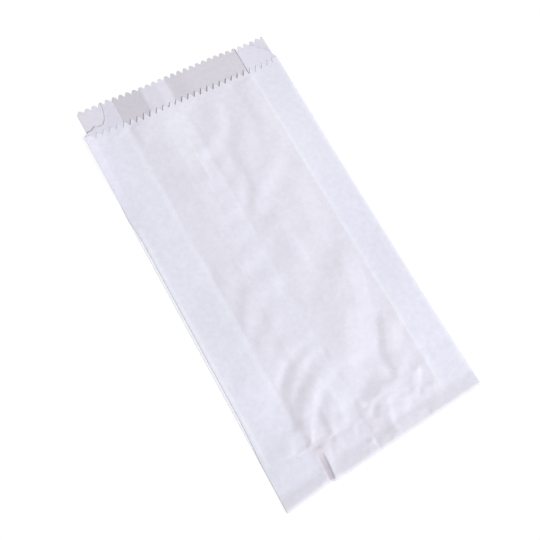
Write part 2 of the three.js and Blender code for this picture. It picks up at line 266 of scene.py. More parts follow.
# Wrinkles: each is a fold line on the front, its half width, and how much lighter (+) or darker
# it reads, in hundredths. The band along a line slopes towards the window or away from it.
WRINKLES = (
    # From the mouth down to the middle
    (((-50, 292), (-46, 275)), 3.0, -4),
    (((21, 284), (19, 270), (16, 261), (8, 253), (-2, 247), (-13, 243)), 3.0, 5.5),
    (((-13, 246), (-13.6, 227)), 1.5, 5),
    (((7, 252.5), (-3, 247), (-12, 244)), 2.0, 3.5),
    (((10, 292), (9, 281), (4, 267), (-4, 254)), 3.0, -1.5),
    (((4, 268), (-5, 260), (-13, 257)), 1.5, 2.5),
    (((26, 264), (19, 254), (12, 243), (9.5, 232), (11, 224)), 2.8, -3),
    (((10, 234), (11.5, 222), (10, 210), (4, 199), (-3, 189)), 2.2, -4.7),
    (((6, 244), (4.5, 237), (1, 230.5), (-5, 226), (-12, 223.5), (-20, 222)), 1.5, 4.8),
    (((8, 218), (2, 210), (-4, 200), (-12, 188)), 3.5, 3.8),
    (((46, 222), (38, 217), (25, 206), (14, 197), (3, 184)), 4.2, 4.6),
    (((51, 290), (52, 240)), 3.0, 2),
    (((52, 240), (51, 229), (46, 222)), 1.8, 4),
    (((40, 226), (27, 221), (17, 214)), 3.0, -2),
    (((-2, 177), (8, 180), (18, 185)), 4.2, -4),
    (((-2, 170), (8, 171), (17, 174)), 1.8, 3.5),
    (((17, 174), (18, 128)), 2.2, 3),
    (((5, 166), (5, 140)), 6.0, -2),
    (((31, 182), (33, 165)), 2.0, -1.5),
    (((45, 200), (43, 150)), 6.0, 1.5),
    (((41, 292), (41, 245)), 3.0, -2),
    (((30, 258), (26, 232)), 4.5, 1.5),
    (((-46, 166), (-49, 150)), 2.6, -3),
    (((-30, 166), (-31, 154)), 1.6, -3),
    (((-49, 146), (-30, 152), (-20, 161)), 1.4, 3),
    (((-29, 144), (-38, 138), (-44, 130), (-50, 118)), 2.2, -6.5),
    (((-18, 142), (-30, 135), (-40, 125), (-49, 114)), 3.0, 1),
    (((-8, 138), (-16, 127)), 2.6, 3),
    (((4, 137), (-2, 130)), 2.4, -3),
    (((46, 134), (35, 136)), 3.0, -3),
    # The middle, and the arcs that run down to the left gusset
    (((-28, 120), (-32, 114.5), (-38, 110), (-44, 107), (-48, 98)), 2.3, -6),
    (((-18, 114), (-24, 110.5), (-29, 107), (-38, 101)), 1.8, 3),
    (((-27, 101), (-32, 98), (-38, 95)), 3.2, -3),
    (((-5, 90), (-16, 89), (-25, 88), (-31, 86)), 2.5, 4.2),
    (((-28, 87), (-33, 85), (-38, 82), (-43, 78), (-49, 72.5)), 1.8, 6.5),
    (((-18, 84), (-27, 81)), 1.8, -2.5),
    (((-27.5, 81.5), (-35, 76), (-42, 69.5), (-48, 60), (-51, 47)), 3.4, -7),
    (((-4, 80), (-12, 79.5), (-19, 77.5), (-28.5, 72)), 2.6, 6),
    (((-28, 71), (-36, 65), (-44, 57)), 1.2, 3),
    (((-15, 71.5), (-21, 69), (-28, 65)), 1.8, -3),
    (((-20, 69.5), (-27.5, 65), (-35, 60), (-42, 54), (-48, 46), (-52, 36)), 3.8, -7.2),
    (((-3, 62), (-10, 61), (-18, 58.5), (-26, 53.5), (-33, 47)), 3.4, 5),
    (((-26, 53), (-32, 48), (-36.5, 42), (-41, 34), (-44.5, 28)), 2.0, 3.6),
    (((-17.5, 53), (-23, 49), (-28.5, 45.5)), 2.4, -3.5),
    (((-29.5, 46), (-31, 38), (-31.5, 25)), 1.9, -6),
    (((-15, 57), (-16.5, 40), (-17, 24)), 1.5, 3),
    (((-3, 43), (-12, 42), (-16, 35), (-15, 27)), 2.6, 4),
    (((-19, 41), (-25, 35), (-28, 27), (-27, 14)), 1.9, 3),
    (((-4, 38), (-6, 30), (-7, 20), (-6, 11)), 2.2, -4),
    (((24, 45), (13, 39), (2, 31)), 5.0, -7),
    (((0.5, 41), (3, 28)), 1.6, -4),
    (((47, 128), (43, 106), (36, 86), (27, 67), (19, 52)), 6.0, 4.5),
    (((32, 96), (20, 80), (13, 66), (6, 54)), 6.0, 4.5),
    (((46, 143), (24, 121), (6, 101)), 8.0, -2.5),
    (((45, 81), (38, 68), (32, 57), (29, 48), (31, 35)), 2.6, -5),
    (((54, 70), (46, 58), (39, 47)), 4.0, 3.5),
    (((41, 45), (42, 36), (50, 34)), 2.0, -2),
    # The crumpled stretch above the bottom fold
    (((51, 31), (46, 29.5), (42, 25.5)), 3.0, 3),
    (((39.5, 22), (37.5, 16), (36, 8)), 1.6, 3),
    (((56.5, 18), (54, 11), (51, 6)), 1.2, 2),
    (((40, 32), (36.5, 27), (35, 20)), 1.6, -3.5),
    (((33, 52), (30.5, 44), (30, 34)), 2.4, -3.5),
    (((41.5, 22.5), (46, 20.5), (54, 19.5)), 2.4, -5),
    (((17, 28), (15, 20), (12, 10), (11.8, 3)), 1.8, 4.6),
    (((32, 22), (27, 15), (23, 9)), 3.2, 3.5),
    (((34, 34), (22, 28)), 2.4, 2),
    (((8, 28), (5, 23), (2, 18)), 2.2, -9),
    (((-2, 22), (2, 26.5), (8, 28)), 0.9, 4),
    (((10, 23), (8, 14), (7, 7)), 2.4, -3),
    (((-42, 49), (-48, 42), (-51, 37)), 3.2, -3),
    (((-46.5, 38), (-48, 28)), 1.6, -5),
    (((-38, 42), (-42, 34), (-45.5, 27.5)), 1.1, 5),
    (((-35, 33), (-41, 27.5)), 0.9, 3.5),
    (((-30, 25), (-34, 19), (-38, 11)), 1.0, -7),
    (((-36, 21), (-39, 12), (-42.5, 4)), 2.2, 4.5),
    (((-14, 24), (-14, 13)), 2.2, 3.5),
    (((-10, 14), (-14, 9)), 2.2, -3),
    (((52, 4), (54.4, 12)), 1.4, 4),
    (((-22, 22), (10, 23.5), (35, 24.5), (60, 25)), 0.8, 1.2),
    # Over the gussets
    (((-66, 26), (-77.7, 15)), 2.4, 3),
    (((-57.5, 39), (-59, 27)), 1.8, 5.5),
    (((-62, 100), (-70, 88), (-77, 79)), 4.0, -2),
    (((-70, 150), (-78, 136)), 5.0, -1.5),
    (((-56, 160), (-76, 152)), 3.0, 1),
    (((-66, 295), (-70, 276)), 3.5, -2.5),
    (((57, 42), (62, 38)), 2.0, -1.5),
    (((81, 37.5), (68, 37)), 1.2, -1.5),
)
TONE_SLOPE = 0.020
WINDOW_SIDE = np.array((0.62, -0.79))
LEAST_TURN = 0.3
RETURN_WIDTHS, RETURN_LEAST = 2.2, 4.0
END_SHARE, END_WIDTHS = 0.3, 1.5
# Short ripples across the glued lap, and small tucks at the bottom fold: where across, from and
# to which level, and how light or dark
LAP_RIPPLES = (281, 269, 258, 246, 222, 209, 194, 178, 157, 133)
RIPPLE_MIDDLE, RIPPLE_WIDTH, RIPPLE_TONE = -16, 3.0, 3.5
TUCK_LEAN, TUCK_WIDTH = 0.6, 0.8
TUCKS = (
    (-16.3, 2, 6, -6), (-7.5, 2, 10, 9), (-5.3, 2, 7.5, -13), (4.6, 1.5, 6, -8), (12.6, 2, 9, 8),
    (26.3, 3, 8, -5), (37.8, 2, 8, 8), (38.2, 1.5, 6.5, -13),
)


def fold_line(x, y, points, half_width, tone):
    """Height of one fold line: an even slope across its band, which then eases back to level."""
    (start_x, start_y), (end_x, end_y) = points[0], points[-1]
    overall = math.dist(points[0], points[-1])
    facing = float(np.dot((start_y - end_y, end_x - start_x), WINDOW_SIDE)) / overall
    slope = math.copysign(tone * TONE_SLOPE / max(abs(facing), LEAST_TURN), tone * facing)
    best = np.full(x.shape, np.inf)
    signed = np.zeros(x.shape)
    gone = np.zeros(x.shape)
    run = 0.0
    for (ax, ay), (bx, by) in zip(points, points[1:]):
        size = math.dist((ax, ay), (bx, by))
        dx, dy = (bx - ax) / size, (by - ay) / size
        t = np.clip((x - ax) * dx + (y - ay) * dy, 0, size)
        ex, ey = x - ax - t * dx, y - ay - t * dy
        far = np.hypot(ex, ey)
        nearer = far < best
        best = np.where(nearer, far, best)
        signed = np.where(nearer, dx * ey - dy * ex, signed)
        gone = np.where(nearer, run + t, gone)
        run += size
    ends = min(END_SHARE * run, END_WIDTHS * half_width)
    taper = smooth(gone, 0, ends) * (1 - smooth(gone, run - ends, run))
    back = RETURN_WIDTHS * half_width + RETURN_LEAST
    eased = np.exp(-(np.maximum(best - half_width, 0) / back) ** 2)
    return -slope * np.clip(signed, -half_width, half_width) * eased * taper


# Cockle of the handled paper: height, random seed and size of its waves
COCKLES = ((0.12, 3, 26), (0.05, 5, 11))
FINE_COCKLE = (0.012, 8, 5)
WAVES, WAVE_SPREAD = 9, (0.7, 1.6)
GUSSET_COCKLE, MOUTH_COCKLE = 0.25, 0.4
COCKLE_SOFTNESS, COCKLE_RISING, COCKLE_EASING = 4, (6, 40), (230, 290)


def ripple(x, y, height, seed, size):
    """A few crossed waves with no visible repeat."""
    total = np.zeros(np.shape(x))
    draw = np.random.default_rng(seed)
    for _ in range(WAVES):
        angle = draw.uniform(0, math.pi)
        wave = size * draw.uniform(*WAVE_SPREAD)
        lead = draw.uniform(0, 2 * math.pi)
        total += np.sin(2 * math.pi * (x * math.cos(angle) + y * math.sin(angle)) / wave + lead)
    return height * (total / WAVES)


def wrinkle_height(x, y):
    total = sum(fold_line(x, y, points, half_width, tone) for points, half_width, tone in WRINKLES)
    for level in LAP_RIPPLES:
        across = ((SEAM_EDGE + 1, level - 1), (RIPPLE_MIDDLE, level), (seam_inner + 3, level + 2))
        total = total + fold_line(x, y, across, RIPPLE_WIDTH, RIPPLE_TONE)
    for at, low, high, tone in TUCKS:
        total = total + fold_line(x, y, ((at, low), (at + TUCK_LEAN, high)), TUCK_WIDTH, tone)
    middle = between(x, left_crease, right_crease, COCKLE_SOFTNESS)
    handled = GUSSET_COCKLE + (1 - GUSSET_COCKLE) * middle
    handled = handled * (MOUTH_COCKLE + (1 - MOUTH_COCKLE) * (1 - smooth(y, *COCKLE_EASING)))
    cockle = sum(ripple(x, y, *waves) for waves in COCKLES)
    return total + handled * cockle * smooth(y, *COCKLE_RISING) + ripple(x, y, *FINE_COCKLE)


# The slit left of the seam, where the fold gapes between two tucks that stand up beside it
SLIT_LOW, SLIT_HIGH = 1.2, 22.0
SLIT_LEFT = ((SLIT_LOW, -47.9), (10, -47.5), (18, -47.3), (SLIT_HIGH, -46.7))
SLIT_RIGHT = ((SLIT_LOW, -43.7), (10, -42.6), (18, -42.1), (SLIT_HIGH, -43.2))
SLIT_EDGE = 0.6
SLIT_CLOSING = (SLIT_HIGH - 6, SLIT_HIGH + 1)
SLIT_RISE, SLIT_REACH = 0.4, 7.0
SLIT_RISING, SLIT_FALLING = (0.5, 4), (12, 30)


def in_slit(x, y, wider):
    """1 in the slit and 0 outside it."""
    from_left = x - along(SLIT_LEFT, y) + wider
    from_right = along(SLIT_RIGHT, y) - x + wider
    across = smooth(from_left, 0, SLIT_EDGE) * smooth(from_right, 0, SLIT_EDGE)
    upwards = smooth(y, SLIT_LOW - SLIT_EDGE, SLIT_LOW + SLIT_EDGE)
    return across * upwards * (1 - smooth(y, *SLIT_CLOSING))


def slit_sides(x, y):
    """The paper on both sides of the slit stands up."""
    beside = bump(x, (along(SLIT_LEFT, y) + along(SLIT_RIGHT, y)) / 2, SLIT_REACH)
    risen = smooth(y, *SLIT_RISING) * (1 - smooth(y, *SLIT_FALLING))
    return SLIT_RISE * beside * risen * (1 - in_slit(x, y, 0))


def front(x, y):
    """The front panel over what it lies on. It never goes lower than that."""
    from_left = x - left_front_fold(y)
    from_right = right_front_fold(y) - x
    over_middle = 2 * PITCH + crease_lift(y)
    seat = np.where(x > right_crease, upper_right(x, y), over_middle)
    seat = np.where(x < left_crease, upper_left(x, y), seat)
    arch = np.sin(np.pi * np.clip(from_left / (from_left + from_right), 0, 1)) ** ARCH_POWER
    swell = SWELL * arch * settled(y) * (1 - SWELL_PRESSED * closing(y))
    to_right = smooth(x, *STEP_CHANGE)
    down = smooth(x, left_crease + LEFT_STEP_FROM, left_crease + LEFT_STEP_TO)
    up_again = smooth(x, right_crease + RIGHT_STEP_FROM, right_crease + RIGHT_STEP_TO)
    step = LEFT_STEP * down * (1 - to_right) + RIGHT_STEP * to_right * (1 - up_again)
    shoulder = SHOULDER * bump(x, right_crease + SHOULDER_AT, SHOULDER_WIDTH)
    ridge = FOLD_RIDGE * bump(from_left, RIDGE_AT, RIDGE_WIDTH) * (1 - smooth(y, *RIDGE_ENDING))
    lift = swell + settled(y) * (shoulder + ridge - step) + wrinkle_height(x, y) + slit_sides(x, y)
    clear = 0.5 * (lift + np.sqrt(lift ** 2 + CONTACT ** 2))
    inside = smooth(from_left, 0, SIDE_EASE) * smooth(from_right, 0, SIDE_EASE)
    inside = inside * smooth(y, bend, bend + TURN_EASE)
    return seat + PITCH + clear * inside


# Toothed edges of the mouth, and the uneven cut that joins them across each gusset
def tooth(x, valley):
    """0 in a valley of the zigzag and 1 on a point of it."""
    return 1 - abs(2 * (((x - valley) / TOOTH_PITCH) % 1) - 1)


# The cut isn't quite straight and its teeth aren't quite alike: height, length and lead of each wave
BACK_WANDER = ((0.35, 13.0, 0), (0.25, 7.1, 2))
BACK_DEPTHS = ((0.16, 9.0, 1),)
FRONT_WANDER = ((0.3, 11.0, 1), (0.2, 6.3, 0))
FRONT_DEPTHS = ((0.12, 8.0, 0),)
BACK_TRIM = 0.4
CORNER_WEAR, CORNER_REACH = 0.9, 1.2
CORNER_TEETH = 0.9


def waves_at(x, waves):
    return sum(height * math.sin(x / size + lead) for height, size, lead in waves)


def back_mouth(x):
    """Where the long back panel ends. Its points are blunt, and its right corner is worn."""
    depth = BACK_TOOTH * (1 + waves_at(x, BACK_DEPTHS))
    blunt = math.sin(math.pi / 2 * tooth(x, BACK_VALLEY))
    worn = CORNER_WEAR * float(bump(x, right_edge, CORNER_REACH))
    return length - BACK_TRIM + waves_at(x, BACK_WANDER) - depth * (1 - blunt) - worn


mouth_left = float(left_front_fold(front_level))
mouth_right = float(right_front_fold(front_level))


def front_mouth(x):
    """Where the short front panel ends, plain at its two corners."""
    if min(x - mouth_left, mouth_right - x) < TOOTH_PITCH * CORNER_TEETH:
        return front_level
    depth = FRONT_TOOTH * (1 + waves_at(x, FRONT_DEPTHS))
    return front_level + waves_at(x, FRONT_WANDER) - depth * (1 - tooth(x, FRONT_VALLEY))


def gusset_mouth(notch, inset, x):
    """Where the upper gusset paper ends: on the uneven cut as far in as that goes, then the zigzag."""
    if inset > notch[-1][0]:
        return back_mouth(x)
    return min(back_mouth(x), front_level + float(along(notch, inset)))


def left_gusset_mouth(x):
    return gusset_mouth(LEFT_NOTCH, x - mouth_left, x)


def right_gusset_mouth(x):
    return gusset_mouth(RIGHT_NOTCH, mouth_right - x, x)


# Columns of the blank, in order across the sheet: panels, and folds between them
FOLD_MARGIN, COLUMN_GAP = 0.65, 0.24


def columns_between(start, end, valley, step, kept=()):
    """Columns on the zigzag's points, with the kept ones among them."""
    low, high = min(start, end), max(start, end)
    first = math.ceil((low - valley) / step)
    xs = [valley + step * k for k in range(first, int((high - valley) / step) + 1)]
    xs = [x for x in xs if low + FOLD_MARGIN < x < high - FOLD_MARGIN]
    clear = [x for x in xs if all(abs(x - k) > COLUMN_GAP for k in kept)]
    return sorted([*clear, *kept], reverse=start > end)


def spread(middle, count, step):
    """A few evenly spaced columns about a middle."""
    return [middle + step * (k - (count - 1) / 2) for k in range(count)]


QUARTER = TOOTH_PITCH / 4
BESIDE_FOLD = 1.0
ROLL_END = left_edge + 4.2
SLIT_MIDDLE, TUCK_COLUMNS = -44.6, 38.6
FOLD_TURNS = (-90, -60, 0, 60, 90)
FOLD_SUPPORT = 0.3
EDGE_SUPPORT = 0.3
# Finer columns on the front: their middle, how many, and how far apart
FRONT_DETAIL = (
    (left_edge + 6.4, 6, 0.9),
    (left_crease + 0.5, 6, 0.5),
    (SLIT_MIDDLE, 13, 0.55),
    (SEAM_EDGE, 2, 0.7),
    (seam_inner + 0.3, 5, 0.6),
    (right_crease + 0.3, 7, 0.5),
    (TUCK_COLUMNS, 4, 0.6),
)
front_kept = [x for detail in FRONT_DETAIL for x in spread(*detail)]
lap_kept = (seam_inner, seam_inner - EDGE_SUPPORT, SEAM_EDGE - SEAM_LANDING, SEAM_EDGE - SEAM_STEP)
back_kept = (SEAM_EDGE, SEAM_EDGE + EDGE_SUPPORT)
left_notch_kept = [mouth_left + inset for inset, _ in LEFT_NOTCH[3:]]
right_notch_kept = [mouth_right - inset for inset, _ in RIGHT_NOTCH[1:]]
walk = (
    ("panel", back_left, back_mouth,
     columns_between(seam_inner, ROLL_END, BACK_VALLEY, QUARTER, lap_kept)),
    ("fold", left_back_fold, -1, back_mouth),
    ("panel", lower_left, back_mouth, columns_between(ROLL_END, left_crease, BACK_VALLEY, QUARTER)),
    ("fold", left_inner_crease, 1, back_mouth),
    ("panel", upper_left, left_gusset_mouth,
     columns_between(left_crease, ROLL_END, BACK_VALLEY, QUARTER, left_notch_kept)),
    ("fold", left_front_fold, -1, front_mouth),
    ("panel", front, front_mouth,
     columns_between(ROLL_END, right_edge - BESIDE_FOLD, FRONT_VALLEY, QUARTER, front_kept)),
    ("fold", right_front_fold, 1, front_mouth),
    ("panel", upper_right, right_gusset_mouth,
     columns_between(right_edge - BESIDE_FOLD, right_crease, BACK_VALLEY, QUARTER, right_notch_kept)),
    ("fold", right_inner_crease, -1, back_mouth),
    ("panel", lower_right, back_mouth,
     columns_between(right_crease, right_edge - BESIDE_FOLD, BACK_VALLEY, QUARTER)),
    ("fold", right_back_fold, 1, back_mouth),
    ("panel", back_right, back_mouth,
     columns_between(right_edge - BESIDE_FOLD, SEAM_EDGE, BACK_VALLEY, QUARTER, back_kept)),
)


def panel_column(x, height, mouth):
    """One straight line up a panel."""
    return {"x": lambda y: x + 0 * y, "height": height, "mouth": mouth(x), "panel": height}


def fold_column(fold, side, turn, below, above, mouth):
    """One line along a fold, part of the way round its half turn, or just inside it where it ends."""
    out, rise = 1 - math.cos(math.radians(turn)), math.sin(math.radians(turn))
    panel = above if turn > 0 else below
    inwards = PITCH / 2 * out + (FOLD_SUPPORT if abs(turn) == 90 else 0)

    def height(x, y):
        if abs(turn) == 90:
            return panel(x, y)
        return (below(fold(y), y) + above(fold(y), y)) / 2 + PITCH / 2 * rise

    return {"x": lambda y: fold(y) - side * inwards, "height": height,
            "mouth": mouth(float(fold(front_level))), "panel": panel}


columns = []
for index, step in enumerate(walk):
    if step[0] == "panel":
        columns += [panel_column(x, step[1], step[2]) for x in step[3]]
    else:
        below, above = walk[index - 1][1], walk[index + 1][1]
        columns += [fold_column(step[1], step[2], turn, below, above, step[3]) for turn in FOLD_TURNS]

# Rows of the blank: under the bottom, round the fold, up the bag, and out to the zigzag cut
UNDER_ROWS, TURN_ROWS, MOUTH_ROWS = 6, 7, 9
DEEPEST_TOOTH, BELOW_TEETH = FRONT_TOOTH * 1.3, 5
last_row = front_level - DEEPEST_TOOTH - BELOW_TEETH
# Bands of rows up the bag, closest over the crumpled bottom: where each ends, and its rows
ROW_BANDS = ((36, 34), (100, 27), (last_row, 40))
up_rows = np.array([bend])
for band_end, band_rows in ROW_BANDS:
    up_rows = np.concatenate([up_rows, np.linspace(up_rows[-1], band_end, band_rows)[1:]])
row_count = UNDER_ROWS + TURN_ROWS + len(up_rows) + MOUTH_ROWS


def column_rows(mouth):
    """How far along the sheet from the bottom fold each row of one column lies."""
    return np.concatenate([
        [mouth - cut_length],
        np.linspace(mouth - cut_length + EDGE_SUPPORT, -bend, UNDER_ROWS)[:-1],
        np.linspace(-bend, bend, TURN_ROWS + 1)[:-1],
        up_rows,
        np.linspace(last_row, mouth - EDGE_SUPPORT, MOUTH_ROWS)[1:],
        [mouth],
    ])


# What the paper's colour follows: how many sheets lie together, a darker band above the bottom fold,
# pale creases and painted light, and painted shade in the mouth, the slit and elsewhere
EDGE_SOFTNESS = 0.4
LAP_FROM, LAP_TO = SEAM_EDGE + 0.3, seam_inner - 1.0
LAP_MIDDLE, LAP_OUTER = -15.2, 0.5
LAP_CHANGE = (LAP_MIDDLE - 0.6, LAP_MIDDLE + 0.6)
LEFT_GUSSET_ENDS = (left_crease - 0.8, left_crease + 2.4)
RIGHT_GUSSET_STARTS = (right_crease - 0.9, right_crease + 0.4)
MOUTH_STARTS = (front_level - 7, front_level - 6)
GUSSET_THINS = (235, 285)


def sheets_below(panel, x, y):
    """How many sheets lie on each other, down from this one."""
    over_lap = between(x, LAP_FROM, LAP_TO, EDGE_SOFTNESS)
    lap = over_lap * (LAP_OUTER + (1 - LAP_OUTER) * smooth(x, *LAP_CHANGE))
    in_gusset = 1 - smooth(x, *LEFT_GUSSET_ENDS) * (1 - smooth(x, *RIGHT_GUSSET_STARTS))
    whole = 2 + 2 * in_gusset + lap
    if panel in (back_left, back_right):
        in_mouth = smooth(y, *MOUTH_STARTS)
        return whole * (1 - in_mouth) + (1 + lap) * in_mouth
    if panel in (lower_left, lower_right):
        return 4 - 2 * smooth(y, *GUSSET_THINS) + 0 * whole
    if panel in (upper_left, upper_right):
        return 3 + 0 * whole
    return whole


# The darker band above the bottom fold: how much of it shows, from left to right
BAND_LOW, BAND_HIGH, BAND_SOFTNESS = 1.6, 8.7, 0.35
DARKER_BAND_SHARES = (
    (left_edge, 0.7), (-47, 0.7), (-45, 0.4), (-43, 0.55), (-17, 0.6), (-15, 0.4), (-6, 0.4), (-5, 1.0),
    (0, 0.7), (4, 1.1), (10.6, 1.1), (11.4, 0), (37, 0), (38, 1), (43, 0.7), (55, 0.55),
    (right_edge, 0.5),
)
# Pale lines along creases, partly the creases' own whitening and partly painted highlight: their line,
# half width and share
CREASE_LINES = (
    (((left_crease - 1.6, 66), (left_crease - 1.6, 290)), 1.7, 0.16),
    (((right_crease + 0.3, 12), (right_crease + 0.3, 290)), 1.6, 0.28),
    (((left_edge + 3.4, 32), (left_edge + 3.4, 215)), 1.1, 0.75),
    (((right_edge - 1.0, 20), (right_edge - 1.0, 270)), 2.2, 0.3),
    (((SEAM_EDGE, 45), (SEAM_EDGE, 292)), 0.4, 0.12),
    (((-15.0, 225), (-15.0, 264)), 0.6, 0.25),
    (((-57, 26.3), (-50.6, 26.1), (-35, 25.8), (-30, 25.2)), 0.5, 0.5),
    (((-7.5, 2), (-7, 11)), 0.6, 0.5),
)
# Broad patches of painted light (+) and painted shade (-), where the paper would face a little towards
# the window or away from it, by how many
# levels they read: middle, reach each way, levels
PAINTED_BROAD_LIGHT_AND_SHADE = (
    (-17, 280, 12, 24, 8), (-19, 252, 9, 12, 3), (12, 262, 18, 32, 2.5), (45, 245, 14, 26, 3),
    (70, 228, 18, 40, 2.5), (0, 290, 8, 8, 4), (35, 185, 16, 22, 3.5), (22, 122, 12, 22, 3),
    (43, 68, 6, 12, 4), (-60, 284, 8, 14, -5), (-43, 284, 6, 10, -4), (-36, 232, 12, 18, -2.5),
    (-78, 235, 8, 38, -5), (-60, 130, 18, 26, -4), (66, 120, 12, 26, -4), (-72, 24, 18, 22, -8),
    (-38, 36, 18, 16, -6), (-8, 22, 26, 12, -8), (34, 30, 20, 8, -5), (4, 154, 9, 11, -3),
    (-44, 158, 7, 10, -2.5), (33, 88, 8, 9, -6), (70, 20, 14, 10, -4), (24, 5, 14, 3.4, 3.5),
    (-24, 13, 10, 3.5, -3), (3, 13, 9, 3.5, -3.5),
)
PALE_LEVELS, SHADE_LEVELS = 22, 41


def painted_broad_light_and_shade(x, y):
    return sum(
        levels * bump(x, at_x, reach_x) * bump(y, at_y, reach_y)
        for at_x, at_y, reach_x, reach_y, levels in PAINTED_BROAD_LIGHT_AND_SHADE
    )


def nearness(x, y, points, width):
    """1 on a line and 0 a few widths away from it."""
    far = np.full(np.shape(x), np.inf)
    for (ax, ay), (bx, by) in zip(points, points[1:]):
        size = math.dist((ax, ay), (bx, by))
        t = np.clip(((x - ax) * (bx - ax) + (y - ay) * (by - ay)) / size ** 2, 0, 1)
        far = np.minimum(far, np.hypot(x - ax - t * (bx - ax), y - ay - t * (by - ay)))
    return bump(far, 0, width)


def glued_share(x, y):
    return along(DARKER_BAND_SHARES, x) * between(y, BAND_LOW, BAND_HIGH, BAND_SOFTNESS)


# Painted light: the side fold's edge is painted paler to lift the shade beside it, the bottom fold gets a
# pale line that is partly its whitened crease and partly painted highlight, and the lap's upper half is
# painted paler than the paper beside it
SIDE_PALE, SIDE_PALE_WIDTH, SIDE_PALE_ENDING = 0.9, 1.5, (225, 240)
LAP_PALE, LAP_PALE_STARTING, LAP_PALE_ENDING = 0.08, (165, 205), (270, 290)
BOTTOM_PALE, BOTTOM_PALE_AT, BOTTOM_PALE_WIDTH = 0.62, 1.2, 0.8


def creased_share(panel, x, y):
    if panel in (back_left, lower_left):
        return SIDE_PALE * bump(x, left_edge, SIDE_PALE_WIDTH) * (1 - smooth(y, *SIDE_PALE_ENDING))
    if panel not in (front, upper_left):
        return 0 * x
    lines = sum(share * nearness(x, y, points, width) for points, width, share in CREASE_LINES)
    over_lap = between(x, SEAM_EDGE, seam_inner, EDGE_SOFTNESS)
    upper_half = smooth(y, *LAP_PALE_STARTING) * (1 - smooth(y, *LAP_PALE_ENDING))
    # Painted light in broad patches, and the lap's upper half painted paler
    pale = np.maximum(painted_broad_light_and_shade(x, y), 0) / PALE_LEVELS + LAP_PALE * over_lap * upper_half
    bottom = BOTTOM_PALE * bump(y, BOTTOM_PALE_AT, BOTTOM_PALE_WIDTH)
    return np.clip(lines + pale + bottom, 0, 1)


# Shares of painted shade: in the mouth by panel, along the right gusset's cut, in broad patches, and on
# the front in and beside the slit
MOUTH_EDGE = (front_level - 8, front_level)
BACK_LEFT_SHADE, BACK_LEFT_SOFTNESS = 0.29, 0.5
BACK_MIDDLE_SHADE, BACK_MIDDLE, BACK_MIDDLE_REACH = 0.17, 0, 7
LOWER_LEFT_SHADE, UPPER_LEFT_SHADE = 0.10, 0.25
LOWER_RIGHT_SHADE, UPPER_RIGHT_SHADE = 0.14, 0.05
CUT_SHADE, CUT_WIDTH = 0.5, 0.8
UNDER_PATCH, UNDER_PATCH_AT, UNDER_PATCH_REACH = 0.5, (-43, 23.6), (4.5, 1.6)
WEDGE, WEDGE_LINE, WEDGE_WIDTH = 0.4, ((-50, 28), (-46, 30.5)), 1.2
SLIT_WIDER, SLIT_LIP, SLIT_LEFT_DARK = 0.3, 1, 0.35
SLIT_TOP_LIGHTER, SLIT_LIGHTENING = 0.45, (6, 20)


def shade_share(panel, x, y):
    if panel in (back_left, back_right):
        beside_seam = BACK_LEFT_SHADE * between(x, left_crease, SEAM_EDGE, BACK_LEFT_SOFTNESS)
        return beside_seam + BACK_MIDDLE_SHADE * bump(x, BACK_MIDDLE, BACK_MIDDLE_REACH)
    if panel in (lower_left, upper_left):
        return (LOWER_LEFT_SHADE if panel is lower_left else UPPER_LEFT_SHADE) * smooth(y, *MOUTH_EDGE)
    if panel is upper_right:
        return UPPER_RIGHT_SHADE * smooth(y, *MOUTH_EDGE)
    if panel is lower_right:
        cut_line = [(mouth_right - inset, front_level + rise) for inset, rise in RIGHT_NOTCH]
        beside_cut = CUT_SHADE * nearness(x, y, cut_line, CUT_WIDTH)
        return LOWER_RIGHT_SHADE * smooth(y, *MOUTH_EDGE) + beside_cut
    at_x, at_y = UNDER_PATCH_AT
    reach_x, reach_y = UNDER_PATCH_REACH
    under_patch = UNDER_PATCH * (bump(x, at_x, reach_x) * bump(y, at_y, reach_y))
    wedge = WEDGE * nearness(x, y, WEDGE_LINE, WEDGE_WIDTH)
    # Painted shade in broad patches
    dim = np.maximum(-painted_broad_light_and_shade(x, y), 0) / SHADE_LEVELS
    left, right = along(SLIT_LEFT, y), along(SLIT_RIGHT, y)
    towards_right = np.clip((x - left + SLIT_LIP) / (right - left + SLIT_LIP), 0, 1)
    depth = SLIT_LEFT_DARK + (1 - SLIT_LEFT_DARK) * towards_right
    slit = in_slit(x, y, SLIT_WIDER) * depth * (1 - SLIT_TOP_LIGHTER * smooth(y, *SLIT_LIGHTENING))
    return np.clip(slit + under_patch + wedge + dim, 0, 1)


TURN_SHADE, TURN_SHADED = 0.8, (0.25, 0.85)
SKEW, SKEW_EASING = ((left_edge, -0.9), (-47.5, 0.7), (-43.5, -0.6), (right_edge, -0.5)), (2, 26)


def skew(x, y):
    """The bottom fold isn't quite straight: it was made askew left of the slit."""
    return along(SKEW, x) * (1 - smooth(y, *SKEW_EASING))


def place(x, height, run):
    """A point of the sheet: across, above the back panel, and along from the bottom fold."""
    turn = np.pi * np.clip((bend - run) / (2 * bend), 0, 1)
    radius = turn_radius + height
    y = np.where(np.abs(run) < bend, bend - radius * np.sin(turn), np.abs(run))
    upper = along(BACK_PROFILE, run) + height
    lower = turn_height - turn_radius - height
    z = np.where(run <= -bend, lower, turn_height + radius * np.cos(turn))
    return x, y, np.where(run >= bend, upper, z)


